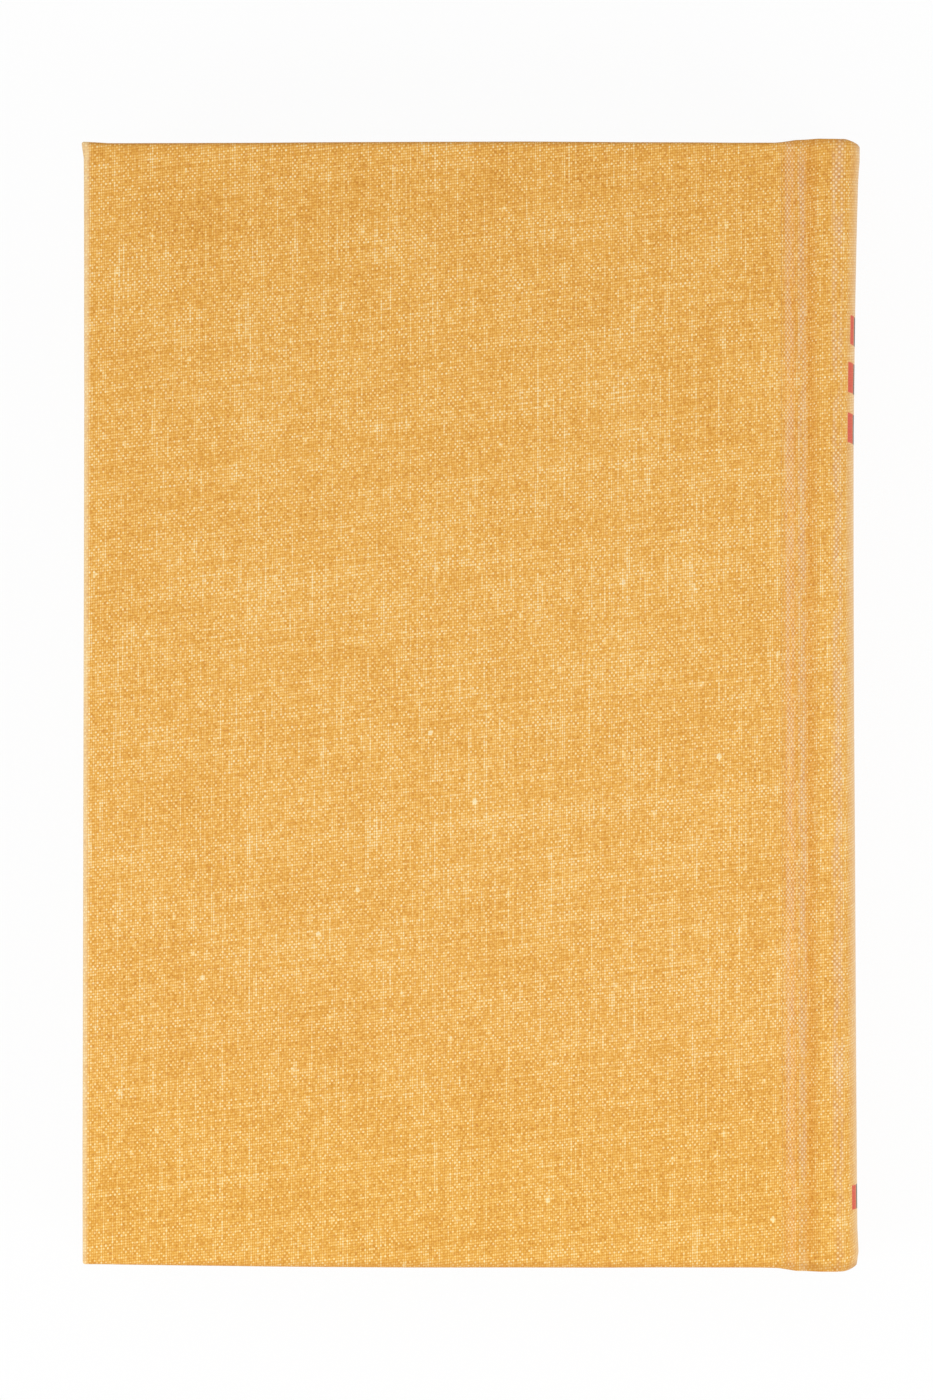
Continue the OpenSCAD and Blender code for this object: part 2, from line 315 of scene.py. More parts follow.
def case_ends(x):
    """How far the case reaches from its middle to the tail and to the head, at a place across it."""
    step_out = (CASE_L - COVER_L) / 2 * smooth(x, *STEP_OUT_RAMP)
    past = np.clip((x - (SPINE_X - CAP_W)) / CAP_W, 0, 1)
    return [COVER_L / 2 + step_out + edge_out(table, x) - dip * past**2
            for table, dip in ((TAIL_EDGE, TAIL_DIP), (HEAD_EDGE, HEAD_DIP))]


def flare(x, y):
    """How far the spine stands out at a point: nothing on the ridges, all of it at its middle."""
    return edge_out(FLARE, y) * smooth(x, *FLARE_RAMP)


def to_frame(x, y, h):
    """Section coordinates in millimetres as frame coordinates in metres."""
    return np.stack([x + FORE_X, y, h + MID_Z], -1) * MM


def grid_faces(rows, columns, start=0):
    """Faces of a grid of vertices that is stored row by row."""
    at = start + np.arange(rows * columns).reshape(rows, columns)
    return np.stack([at[:-1, :-1], at[1:, :-1], at[1:, 1:], at[:-1, 1:]], -1).reshape(-1, 4).tolist()


def in_scene(name, data):
    """An object made of a mesh, a light or a camera."""
    obj = bpy.data.objects.new(name, data)
    bpy.context.scene.collection.objects.link(obj)
    return obj


def make_mesh(name, points, faces, uvs):
    """An object from vertices, faces and a UV for each vertex, in metres of the flat material."""
    mesh = bpy.data.meshes.new(name)
    mesh.from_pydata(points.tolist(), [], faces)
    loops = np.zeros(len(mesh.loops), int)
    mesh.loops.foreach_get("vertex_index", loops)
    mesh.uv_layers.new(name="flat").data.foreach_set("uv", (uvs * MM)[loops].ravel())
    mesh.shade_smooth()
    return in_scene(name, mesh)


def plain(obj):
    """Replaces an object's mesh by what its modifiers make of it."""
    graph = bpy.context.evaluated_depsgraph_get()
    obj.data = bpy.data.meshes.new_from_object(obj.evaluated_get(graph))
    obj.modifiers.clear()
    return obj


def thicken(obj, thickness, offset):
    """Gives a surface its thickness, inwards at offset -1 and both ways at 0."""
    solid = obj.modifiers.new("thickness", "SOLIDIFY")
    solid.thickness = thickness * MM
    solid.offset = offset
    solid.use_even_offset = True
    return plain(obj)


def welded(obj):
    """Joins vertices that lie in one place and removes the faces that lose their size by it."""
    bm = bmesh.new()
    bm.from_mesh(obj.data)
    bmesh.ops.remove_doubles(bm, verts=bm.verts, dist=2e-6)
    bmesh.ops.dissolve_degenerate(bm, edges=bm.edges, dist=1e-7)
    bm.to_mesh(obj.data)
    bm.free()
    return obj


def facing_out(obj):
    """Turns the faces of a closed piece outwards."""
    bm = bmesh.new()
    bm.from_mesh(obj.data)
    bmesh.ops.recalc_face_normals(bm, faces=bm.faces)
    bm.to_mesh(obj.data)
    bm.free()
    return obj


def turned_front(points, uvs):
    """A back piece's vertices and UVs as those of the front one. Its faces are turned as well."""
    return points * np.array([1, 1, -1]), np.array([2 * MID_U, 0]) + uvs * np.array([-1, 1])


def end_rows(radius, thick, hem):
    """Rows that carry a sheet round its end and back under itself: how far short of the end each
    lies, how deep as a share of the thickness, and how far along the cloth."""
    side = radius * math.pi / 2 + thick - 2 * radius
    quarter = np.radians(np.linspace(0, 90, BEND_STEPS + 1))
    rows = []
    for a in quarter[1:]:
        rows.append((radius * (1 - math.sin(a)), radius * (1 - math.cos(a)) / thick, radius * a))
    for a in quarter[::-1]:
        rows.append((radius * (1 - math.sin(a)), 1 - radius * (1 - math.cos(a)) / thick,
                     side + radius * (math.pi / 2 - a)))
    for reach in np.linspace(0, hem - radius, HEM_ROWS + 1)[1:]:
        rows.append((radius + reach, 1.0, side + radius * math.pi / 2 + reach))
    return np.array(rows).T


def swept_cloth(name, first, last):
    """The case cloth over a run of the section's stations, turned in at head and tail."""
    columns = []
    for station, under, u in zip(CASE[first:last + 1], INNER[first:last + 1], CASE_U[first:last + 1]):
        x = station[0]
        thick = np.hypot(*(station[:2] - under))
        radius = min(EDGE_R, thick / 2 - HAIR)
        hem = (JOINT_HEM + (SPINE_HEM - JOINT_HEM) * smooth(x, *SPINE_HEM_RAMP)
               + (TURN_IN - JOINT_HEM) * (1 - smooth(x, *JOINT_HEM_RAMP)))
        tail, head = case_ends(x)
        short, deep, along = end_rows(radius, thick, hem)
        body = np.linspace(radius - tail, head - radius, BODY_ROWS + 1)
        y = np.concatenate([(short - tail)[::-1], body, head - short])
        v = np.concatenate([-(tail - radius + along)[::-1], body, head - radius + along])
        depth = np.concatenate([deep[::-1], np.zeros(len(body)), deep])
        place = station[:2] + (under - station[:2]) * depth[:, None]
        columns.append(np.stack([place[:, 0] + flare(x, y), y, place[:, 1], 0 * y + u, v], 1))
    grid = np.array(columns)
    rows, count = grid.shape[:2]
    flat = grid.reshape(-1, 5)
    cloth = make_mesh(name, to_frame(*flat[:, :3].T), grid_faces(rows, count), flat[:, 3:])
    return thicken(cloth, CLOTH_T - HAIR, -1)


def outline(inset, xs, ys):
    """A cover's outline at an inset: along the head from the joint, down the fore edge and back
    along the tail. Gives each vertex's x and y and its outward direction."""
    radius = max(CORNER_R - inset, 0)
    end = COVER_L / 2 - inset
    centre = np.array([max(CORNER_R, inset), COVER_L / 2 - max(CORNER_R, inset)])
    points = [(max(x, inset), end, 0, 1) for x in xs]
    for a in np.radians(np.linspace(90, 180, CORNER_COLUMNS)):
        points.append((*(centre + radius * np.array([math.cos(a), math.sin(a)])),
                       math.cos(a), math.sin(a)))
    points += [(inset, y, -1, 0) for y in np.clip(ys, -end, end)]
    tail = [(x, -y, nx, -ny) for x, y, nx, ny in points[:len(xs) + CORNER_COLUMNS]]
    return np.array(points + tail[::-1], float)


def board_unevenness(points):
    """How far a cover's vertices lie off its true shape, as a hand-covered board is never quite
    true. At the spine edge only the ends differ, as they do on the joint."""
    x, y, h = points.T
    fade = 1 - smooth(x, PART_X - 25, PART_X - 3)
    wave = (np.sin(x / 17 + 0.7) * np.sin(y / 23 + 1.9) + 0.6 * np.sin(x / 9.1 - y / 13 + 0.4)
            + 0.5 * np.sin(x / 31 + y / 7.9))
    near_fore = 1 - smooth(x, 0, EDGE_FADE)
    near_end = 1 - smooth(COVER_L / 2 - np.abs(y), 0, EDGE_FADE)
    ear = np.exp(-((x / EAR_W[0]) ** 2 + ((y - COVER_L / 2) / EAR_W[1]) ** 2))
    end_out = np.where(y > 0, edge_out(HEAD_EDGE, x), edge_out(TAIL_EDGE, x))
    return np.stack([
        -near_fore * edge_out(FORE_EDGE, y) - EAR_OUT[0] * ear,
        np.sign(y) * near_end * end_out + EAR_OUT[1] * ear,
        WAVE_H * fade * wave * smooth(h, FACE_H - COVER_T, FACE_H),
    ], 1)


def border_rings():
    """The rows of a cover's cloth from its face round the edge and in over the board's back: the
    inset, the height and the way along the cloth from where the edge begins."""
    side = COVER_T - 2 * EDGE_R
    quarter = np.radians(np.linspace(0, 90, BEND_STEPS + 1))
    rings = [(EDGE_R * (1 - math.sin(a)), FACE_H - EDGE_R * (1 - math.cos(a)), EDGE_R * a)
             for a in quarter]
    rings += [(EDGE_R * (1 - math.sin(a)), FACE_H - COVER_T + EDGE_R * (1 - math.cos(a)),
               side + EDGE_R * (math.pi - a)) for a in quarter[::-1]]
    rings += [(inset, FACE_H - COVER_T, side + EDGE_R * (math.pi - 1) + inset)
              for inset in BORDER_INSETS]
    return rings


def cover_cloth(name, front):
    """The cloth of one cover: its face, its rounded edges and its turned-in borders."""
    xs = np.linspace(PART_X, EDGE_R, FACE_COLUMNS)
    ys = np.linspace(1, -1, FACE_ROWS) * (COVER_L / 2 - EDGE_R)
    rings = border_rings()
    points, uvs = [], []
    for inset, h, run in rings:
        x, y, nx, ny = outline(inset, xs, ys).T
        # Two borders meet in a crease that runs in from each corner
        crease = CREASE_H * np.exp(-((x - (COVER_L / 2 - np.abs(y))) / CREASE_W) ** 2)
        points.append(np.stack([x, y, h + crease * smooth(inset, *CREASE_RAMP)], 1))
        beyond = inset - EDGE_R + run
        uvs.append(np.stack([x + nx * beyond, y + ny * beyond], 1))
    count = len(points[0])
    faces = grid_faces(len(rings), count)
    gx, gy = np.meshgrid(xs, ys, indexing="ij")
    points.append(np.stack([gx.ravel(), gy.ravel(), np.full(gx.size, FACE_H)], 1))
    faces += grid_faces(*gx.shape, len(rings) * count)
    points = np.vstack(points)
    uvs = np.vstack([*uvs, points[len(rings) * count:, :2]])
    moved = board_unevenness(points)
    points, uvs = points + moved, uvs + moved[:, :2]
    if front:
        points, uvs = turned_front(points, uvs)
        faces = [face[::-1] for face in faces]
    cloth = make_mesh(name, to_frame(*points.T), faces, uvs)
    return thicken(welded(cloth), CLOTH_T - HAIR, -1)


def spine_card():
    """The card in the spine, bowed as the cloth over it is."""
    on_card = (CASE[:, 0] > TURN[0]) & (
        np.abs(np.degrees(np.arctan2(CASE[:, 3], CASE[:, 2]))) < CARD_END_A + 1)
    stations = CASE[on_card]
    columns = []
    for x, h, nx, nh in stations:
        tail, head = case_ends(x)
        y = np.linspace(CLOTH_T + 2 * HAIR - tail, head - CLOTH_T - 2 * HAIR, CARD_ROWS + 1)
        columns.append(np.stack([x - nx * CLOTH_T + flare(x, y), y, 0 * y + h - nh * CLOTH_T], 1))
    grid = np.array(columns)
    flat = grid.reshape(-1, 3)
    card = make_mesh("spine_card", to_frame(*flat.T), grid_faces(*grid.shape[:2]), flat[:, :2])
    return thicken(card, CARD_T - HAIR, -1)


# The middle of a pastedown's sheet on bare board and over turned-in cloth
PASTE_BARE = FACE_H - COVER_T + CLOTH_T - PAPER_T / 2
PASTE_OVER = PASTE_BARE - CLOTH_T
# The middle of the sheet where it leaves the board and sinks to the block: x, and h in both places
SINK = [(138.0, 10.93, 10.58), (139.0, 10.8, 10.52), (140.0, 10.6, 10.45)]
# Room between the endpaper in the joint and the flyleaf under it
FOLD_GAP = 0.15
# An endpaper leaves its board this far before the edge of turned-in cloth, and lies on the cloth
# this far past it
STEP_FOOT = 0.7
STEP_TOP = 0.5
# Height of the slow ripple in a flyleaf
RIPPLE_H = 0.05


def paper_step(x, y):
    """1 where an endpaper lies over turned-in cloth, 0 where it lies on bare board."""
    border = COVER_L / 2 - TURN_IN
    return np.maximum(smooth(np.abs(y), border - STEP_FOOT, border + STEP_TOP),
                      1 - smooth(x, TURN_IN - STEP_TOP, TURN_IN + STEP_FOOT))


def paper_rows():
    """Places along the book, close together where the paper steps over the turned-in cloth."""
    border = COVER_L / 2 - TURN_IN
    end = COVER_L / 2 - PAPER_MARGIN
    step = border + np.linspace(-0.8, 0.6, 8)
    half = np.concatenate([np.linspace(0, border - 2, PAPER_ROWS), step, [end - 1.0, end]])
    return np.concatenate([-half[:0:-1], half])


PAGE_ROWS = paper_rows()


def paper_sheet(name, stations, front):
    """An endpaper from stations of x, h on bare board and h over turned-in cloth."""
    stations = np.array(stations)
    x, h_bare, h_over = (column[:, None] for column in stations.T)
    y = PAGE_ROWS[None, :] + 0 * x
    step = paper_step(x, y)
    h = h_bare * (1 - step) + h_over * step
    u = developed(stations, stations[0, 0])[:, None] + 0 * y
    points = np.stack([x + 0 * y, y, h], -1).reshape(-1, 3)
    uvs = np.stack([u, y], -1).reshape(-1, 2)
    if front:
        points, uvs = turned_front(points, uvs)
    sheet = make_mesh(name, to_frame(*points.T), grid_faces(*y.shape), uvs)
    return thicken(sheet, PAPER_T - 3 * HAIR, 0)


def leaf_rise(depth):
    """x and h from the flat of the outer leaf up over the shoulder, at a depth below its top."""
    foot = (LEAF_FOOT_X, LEAF_H + LEAF_BEND_R)
    bend = arc(foot, LEAF_BEND_R + depth, 270, 270 + WALL_OUT, LEAF_STEPS)
    crown = arc(RIDGE, LEAF_R - depth, 90 + WALL_OUT, 90, LEAF_STEPS)
    return np.vstack([bend, wall(bend[-1], crown[0], 3), crown])[:, :2]


def pastedown(name, front):
    """The half of an endpaper that is pasted to the cover."""
    edge = TURN_IN + np.linspace(-0.8, 0.9, 9)
    xs = np.concatenate([[PAPER_MARGIN, 4.0, 8.0, 12.0], edge, np.linspace(18, PART_X, PAPER_COLUMNS)])
    return paper_sheet(name, [(x, PASTE_BARE, PASTE_OVER) for x in xs], front)


def endpaper_hinge(name, front):
    """The endpaper across the joint: off the board, down to the block, up the shoulder to the fold."""
    stations = [(x, PASTE_BARE, PASTE_OVER) for x in (PART_X, 133.0, 135.5, 137.0)] + SINK
    fold_r = (FOLD_GAP + PAPER_T / 2) / 2
    fold = arc((RIDGE[0], RIDGE[1] + LEAF_R + FOLD_GAP - fold_r), fold_r, 90, -90, 6)[1:, :2]
    stations += [(x, h, h) for x, h in [*leaf_rise(-FOLD_GAP), *fold]]
    return paper_sheet(name, stations, front)


def flyleaf(name, front):
    """The free half of an endpaper, from its fold down the shoulder to the fore edge."""
    rise = leaf_rise(PAPER_T / 2)[::-1]
    xs = np.linspace(LEAF_FOOT_X, SQUARES, LEAF_COLUMNS)[1:]
    ripple = RIPPLE_H * np.sin(xs / 14) * smooth(LEAF_FOOT_X - xs, 0, 20)
    flat = np.stack([xs, LEAF_H - PAPER_T / 2 + ripple + 2 * HAIR], 1)
    return paper_sheet(name, [(x, h, h) for x, h in [*rise, *flat]], front)


def swept_round(name, profile, around_v):
    """A closed profile, as distance from the centre of the block's round and y, run from shoulder
    to shoulder. Its way round is given the length around_v on the flat material."""
    angles = np.radians(np.linspace(-SHOULDER_A, SHOULDER_A, ROUND_STATIONS))
    centre_x = BLOCK_X - BLOCK_R
    r, y = np.array(profile).T
    grid = np.array([np.stack([centre_x + r * math.cos(a), y, r * math.sin(a)], 1) for a in angles])
    count = len(profile)
    flat = grid.reshape(-1, 3)
    round_profile = np.tile(np.linspace(0, around_v, count), len(angles))
    uvs = np.stack([np.repeat(angles * BLOCK_R, count), round_profile], 1)
    at = np.arange(grid.shape[0] * count).reshape(-1, count)
    along = np.stack([at[:-1], at[1:], np.roll(at[1:], -1, 1), np.roll(at[:-1], -1, 1)], -1)
    faces = along.reshape(-1, 4).tolist() + [at[0].tolist(), at[-1][::-1].tolist()]
    return facing_out(make_mesh(name, to_frame(*flat.T), faces, uvs))


class Value:
    """A node's output. Arithmetic on it adds Math nodes."""

    def __init__(self, nodes, socket):
        self.nodes, self.socket = nodes, socket

    def math(self, operation, *others):
        return self.nodes.math(operation, self, *others)

    def __add__(self, other):
        return self.math("ADD", other)

    def __sub__(self, other):
        return self.math("SUBTRACT", other)

    def __mul__(self, other):
        return self.math("MULTIPLY", other)

    def __truediv__(self, other):
        return self.math("DIVIDE", other)

    def __rsub__(self, other):
        return self.nodes.math("SUBTRACT", other, self)

    __radd__, __rmul__ = __add__, __mul__


class Nodes:
    """A node tree being built."""

    def __init__(self, tree):
        self.tree = tree
        tree.nodes.clear()

    def node(self, kind, inputs=None, **settings):
        """Adds a node: its settings first, with a ramp's stops as (place, colour), then the values
        or links of its sockets. Gives a function from an output's name or number to its Value."""
        made = self.tree.nodes.new(kind)
        for key, value in settings.items():
            if key == "stops":
                elements = made.color_ramp.elements
                while len(elements) < len(value):
                    elements.new(0.5)
                for element, (place, colour) in zip(elements, value):
                    element.position, element.color = place, colour
            else:
                setattr(made, key, value)
        for key, value in (inputs or {}).items():
            if isinstance(value, Value):
                self.tree.links.new(value.socket, made.inputs[key])
            else:
                made.inputs[key].default_value = value
        return lambda output=0: Value(self, made.outputs[output])

    def math(self, operation, *values):
        """A Math node's result."""
        return self.node("ShaderNodeMath", dict(enumerate(values)), operation=operation)()


# Headbands: a bead of coloured threads wound round a core, on a tape glued down the spine
BEAD_R = 1.0
THREAD_R = 0.15
BEAD_GAP = 0.05
TAPE_W = 9.0
TAPE_T = 0.35
BAND_FACE_R = BLOCK_R + BEAD_GAP + TAPE_T
BEAD_Y = PAGE_L / 2 + BEAD_GAP + BEAD_R
# Threads in a stripe of one colour, and the way from one to the next
STRIPE = 5
THREAD_PITCH = 1.9 * THREAD_R
# Angle by which the threads stop short of the tape's ends
THREADS_SHORT = 1.0


def band_tape(name, way):
    """The tape and core of one headband; way is 1 at the head and -1 at the tail."""
    core_r = BEAD_R - THREAD_R
    around = np.radians(np.linspace(0, 240, 13))
    inner, outer = BAND_FACE_R - TAPE_T, BAND_FACE_R - HAIR
    profile = [(inner, PAGE_L / 2 - TAPE_W), (outer, PAGE_L / 2 - TAPE_W), (outer, PAGE_L / 2)]
    profile += [(BAND_FACE_R - BEAD_R + core_r * math.cos(a), BEAD_Y + core_r * math.sin(a))
                for a in around]
    profile += [(inner, PAGE_L / 2)]
    return swept_round(name, [(r, way * y) for r, y in profile], 2 * TAPE_W)


# The inputs of the winding, and how many sides a ring of thread and the thread itself have
WINDING_SIZES = (
    ("Pitch", "NodeSocketFloat"), ("Winding radius", "NodeSocketFloat"),
    ("Thread radius", "NodeSocketFloat"), ("Stripe", "NodeSocketInt"),
    ("Turn", "NodeSocketInt"), ("Thread", "NodeSocketMaterial"),
)
HOOP_STEPS = 14
STRAND_STEPS = 6


def winding_tree():
    """Geometry nodes that wind rings of thread round a line, in stripes of a colour. Gives the
    tree and the keys of its inputs."""
    tree = bpy.data.node_groups.new("thread_winding", "GeometryNodeTree")
    face = tree.interface
    face.new_socket("Line", in_out="INPUT", socket_type="NodeSocketGeometry")
    keys = {label: face.new_socket(label, in_out="INPUT", socket_type=kind).identifier
            for label, kind in WINDING_SIZES}
    face.new_socket("Threads", in_out="OUTPUT", socket_type="NodeSocketGeometry")

    node = Nodes(tree).node
    given = node("NodeGroupInput")
    line = node("GeometryNodeMeshToCurve", {"Mesh": given("Line")})()
    turns = node("GeometryNodeResampleCurve", {"Curve": line, "Length": given("Pitch")},
                 mode="LENGTH")()
    circle = "GeometryNodeCurvePrimitiveCircle"
    hoop = node(circle, {"Resolution": HOOP_STEPS, "Radius": given("Winding radius")})()
    strand = node(circle, {"Resolution": STRAND_STEPS, "Radius": given("Thread radius")})()
    loop = node("GeometryNodeCurveToMesh", {0: hoop, 1: strand})()
    tangent = node("GeometryNodeInputTangent")()
    turned = node("FunctionNodeAlignRotationToVector", {"Vector": tangent}, axis="Z")()

    # Every second stripe is left to the other colour
    stripe = (node("GeometryNodeInputIndex")() / given("Stripe")).math("FLOOR")
    chosen = (stripe + given("Turn")).math("MODULO", 2.0)
    rings = node("GeometryNodeInstanceOnPoints", {"Points": turns, "Selection": chosen,
                                                  "Instance": loop, "Rotation": turned})()
    real = node("GeometryNodeRealizeInstances", {"Geometry": rings})()
    rounded = node("GeometryNodeSetShadeSmooth", {"Geometry": real})()
    painted = node("GeometryNodeSetMaterial", {"Geometry": rounded, "Material": given("Thread")})()
    node("NodeGroupOutput", {"Threads": painted})
    return tree, keys


def band_threads(name, way, turn, thread):
    """One colour of a headband's threads, in every second stripe."""
    reach = SHOULDER_A - THREADS_SHORT
    angles = np.radians(np.linspace(-reach, reach, 2 * ROUND_STATIONS - 1))
    radius = BAND_FACE_R - BEAD_R
    x = BLOCK_X - BLOCK_R + radius * np.cos(angles)
    points = to_frame(x, np.full(len(x), way * BEAD_Y), radius * np.sin(angles))
    mesh = bpy.data.meshes.new(name)
    mesh.from_pydata(points.tolist(), [(i, i + 1) for i in range(len(points) - 1)], [])
    obj = in_scene(name, mesh)
    winding = obj.modifiers.new("winding", "NODES")
    winding.node_group = WINDING
    for label, value in (
        ("Pitch", THREAD_PITCH * MM), ("Winding radius", (BEAD_R - THREAD_R) * MM),
        ("Thread radius", THREAD_R * MM), ("Stripe", STRIPE), ("Turn", turn), ("Thread", thread),
    ):
        winding[WINDING_KEYS[label]] = value
    return plain(obj)


class Paint(Nodes):
    """A material being mixed from nodes."""

    def __init__(self, name):
        self.material = bpy.data.materials.new(name)
        self.material.use_nodes = True
        super().__init__(self.material.node_tree)

    def band(self, value, low, high):
        """0 below low, 1 above high and an even curve between. It falls where low is above high."""
        if low > high:
            return 1 - self.band(value, high, low)
        return self.node("ShaderNodeMapRange", {"Value": value, "From Min": low, "From Max": high},
                         interpolation_type="SMOOTHSTEP")()

    def between(self, value, begin, whole, still, end):
        """1 between whole and still, 0 before begin and after end."""
        return self.band(value, begin, whole) * self.band(value, end, still)

    def within(self, value, centre, half, edge):
        """1 near a centre and 0 beyond half a width, over a soft edge."""
        return 1 - self.band((value - centre).math("ABSOLUTE"), half - edge, half + edge)

    def point(self, x, y, z=0.0):
        """A place from three numbers or values."""
        return self.node("ShaderNodeCombineXYZ", {"X": x, "Y": y, "Z": z})()

    def noise(self, place, scale, detail=2.0, roughness=0.5, dimensions="2D"):
        """A cloudy value from 0 to 1. The scale is in clouds a millimetre."""
        inputs = {"Vector": place, "Scale": scale, "Detail": detail, "Roughness": roughness}
        return self.node("ShaderNodeTexNoise", inputs, noise_dimensions=dimensions)("Fac")

    def streaks(self, x, y, scale_x, scale_y, detail=1.0):
        """Noise that is drawn out, with a scale of its own each way."""
        return self.noise(self.point(x * scale_x, y * scale_y), 1.0, detail)

    def chance(self, value):
        """An even random number for each whole number."""
        return self.node("ShaderNodeTexWhiteNoise", {"W": value}, noise_dimensions="1D")("Value")

    def mix(self, share, a, b, how="MIX"):
        """Colour a where the share is 0 and b where it is 1."""
        return self.node("ShaderNodeMix", {0: share, 6: a, 7: b}, data_type="RGBA",
                         blend_type=how)(2)

    def flat_place(self):
        """The piece's place on its flat material, in millimetres."""
        return self.in_mm(self.node("ShaderNodeUVMap", uv_map="flat")("UV"))

    def object_place(self):
        """The place in the frame, in millimetres."""
        return self.in_mm(self.node("ShaderNodeTexCoord")("Object"))

    def in_mm(self, place):
        """A place in metres as one in millimetres."""
        return self.node("ShaderNodeVectorMath", {0: place, "Scale": 1 / MM}, operation="SCALE")()

    def split(self, vector):
        """The three values of a place or a direction."""
        parts = self.node("ShaderNodeSeparateXYZ", {0: vector})
        return parts("X"), parts("Y"), parts("Z")

    def finish(self, colour, height, relief, roughness, **constants):
        """The closing shader. Relief is the height's real depth in millimetres."""
        depth = {"Height": height, "Strength": 1.0, "Distance": relief * MM}
        bump = self.node("ShaderNodeBump", depth)("Normal")
        inputs = {"Base Color": colour, "Roughness": roughness, "Normal": bump}
        inputs.update({key.replace("_", " "): value for key, value in constants.items()})
        shader = self.node("ShaderNodeBsdfPrincipled", inputs)()
        self.node("ShaderNodeOutputMaterial", {"Surface": shader})
        return self.material


def rgb(r, g, b):
    """A colour as a screen shows it, 0 to 255, as the numbers that a shader takes."""
    linear = [((c / 255 + 0.055) / 1.055) ** 2.4 if c > 10 else c / 255 / 12.92 for c in (r, g, b)]
    return (*linear, 1.0)


# Weave of the book cloth, in millimetres between threads
WARP_PITCH = 0.441
WEFT_PITCH = 0.542
# The weft climbs towards the spine, as the cloth was cut a little off its grain
WEFT_SLOPE = 0.11
# How far all threads wander over the cloth, and how far a few do side by side
WARP_DRIFT = 0.2
WEFT_DRIFT = 0.8
WARP_WANDER = 0.12
WEFT_WANDER = 0.14
# Scales of the noise behind these, in clouds a millimetre, those of single threads across and
# along the cover
WARP_DRIFT_SCALE = 0.04
WEFT_DRIFT_SCALE = 0.014
WARP_WANDER_SCALE = (0.8, 0.02)
WEFT_WANDER_SCALE = (0.03, 0.7)
# A thread's roundness, its height half way up a crossing and how far it rises and dips from there
THREAD_ROUND = 0.6
THREAD_LEVEL = 0.55
THREAD_SWING = 0.45
# Numbers that keep the chances of crossings and of the weft apart from those of the warp
CROSSING_SEED = 61.7
WEFT_SEED = 371.0
# Means over the weave, which the tones are measured from
MEAN_HEIGHT = 0.72
MEAN_ACROSS = 0.64
MEAN_LUCK = 0.45

# The cloth's colours by tone, from the pits between threads to cream slubs
CLOTH_TONES = [
    (0.0, rgb(182, 112, 36)), (0.25, rgb(218, 152, 61)), (0.5, rgb(239, 179, 84)),
    (0.75, rgb(254, 209, 129)), (1.0, rgb(255, 236, 190)),
]
# Tones: the mean, and what the height of the weave and the thread on top add to it
TONE_MEAN = 0.545
TONE_RELIEF = 0.31
TONE_CHECK = 0.095
# Lines along the threads: what all have, what each adds by itself and its tone over its width
TONE_WARP = 0.01
TONE_WARP_EACH = 0.14
TONE_WEFT = 0.05
TONE_WEFT_EACH = 0.1
TONE_THREAD = 0.06
# Chance at single crossings, on raised weft by clump and by thread, and runs of a pale thread
TONE_LUCK = 0.43
TONE_CROWN = 0.4
TONE_CROWN_EACH = 0.12
TONE_RUN = 0.28
# How far the runs of one thread differ from its neighbour's, and their scale along it
WARP_RUN_SCALE = (5.17, 0.06)
WEFT_RUN_SCALE = (4.31, 0.09)
# Patches of a few threads, wide clouds, fine grain and slubs, with the scale of their noise
TONE_CLUMP = 0.1
CLUMP_SCALE = 0.45
TONE_CLOUD = 0.19
CLOUD_SCALE = 0.07
TONE_GRAIN = 0.68
GRAIN_SCALE = 1.9
TONE_SLUB = 0.5
# The cloth darkens a little towards both ends, and more at the head as painted shade of the light that
# comes from the tail, over these stretches of it
TONE_ENDS = 0.03
ENDS_RAMP = (25.0, 85.0)
HEAD_SHADE = 0.04
HEAD_SHADE_RAMP = (75.0, 108.0)

# Reddish flecks: their colour, share and scale, and the level of the noise that they lie in
CLOTH_RED = rgb(210, 140, 86)
RED = 0.4
FLECK_SCALE = 1.7
FLECK_LEVEL = 7.0
# A yellow over all cloth, and what is added to its share near the tail
CLOTH_YELLOWER = (1.0, 1.0, 0.8, 1.0)
YELLOW = 0.15
YELLOW_AT_TAIL = 0.4
TAIL_RAMP = (-60.0, -100.0)
# Cloth drawn open over the joint: its paler threads, the scale of their streaks and the stretch
# over which they calm down near the tail, then its darker gaps
CLOTH_DRAWN = rgb(250, 222, 192)
DRAWN = 0.5
DRAWN_SCALE = (0.9, 0.12)
CALM_RAMP = (-88.0, -102.0)
CLOTH_GAP = rgb(150, 100, 72)
GAP = 0.12
# A painted sheen where the cloth is seen at a grazing angle, a painted highlight along the fore edge
# and painted shade along the head and tail edges, with the distances from an edge at which the
# highlight and the shade begin, are whole, still are and end
CLOTH_SHEEN_CREAM = rgb(255, 232, 200)
RIM_SHEEN = 0.5
CLOTH_FORE_HIGHLIGHT = rgb(255, 238, 196)
FORE_HIGHLIGHT = 0.5
FORE_HIGHLIGHT_SPAN = (-2.2, -1.2, 0.3, 1.35)
CLOTH_END_SHADE = rgb(192, 126, 52)
END_SHADE = 0.4
END_SHADE_SPAN = (-1.1, 0.2, 2.0, 3.2)
# Depth of the weave in millimetres, and the cloth's sheen
RELIEF = 0.06
SHEEN = 0.22

# Places across the joint where the cloth is drawn open, as x and half a width
STRETCHED = [(139.5, 1.1), (142.0, 0.8), (148.8, 0.9)]

# Painted light and shade along the joint: two paler lines that lift the shade on the wall down from the
# cover and in the groove, and a darker line of painted shadow on the wall up to the ridge. Each is x,
# half a width and how much paler
JOINT_LIGHT_AND_SHADE = [(139.6, 1.0, 0.07), (142.0, 0.8, 0.08), (143.6, 0.6, -0.05)]

# Slubs that stand out on the back cover, and one in its joint, as x and y. Then half their size
# across and along, and the space between the small ones.
SLUBS = [(23.6, -54.3), (46.5, -45.7), (68.6, -6.0), (135.9, -101.7), (54.2, -37.0), (91.7, -98.0),
         (77.3, -19.6), (125.5, -10.7)]
SLUB_W = 0.55
SLUB_L = 0.65
SLUB_SPACE = 22

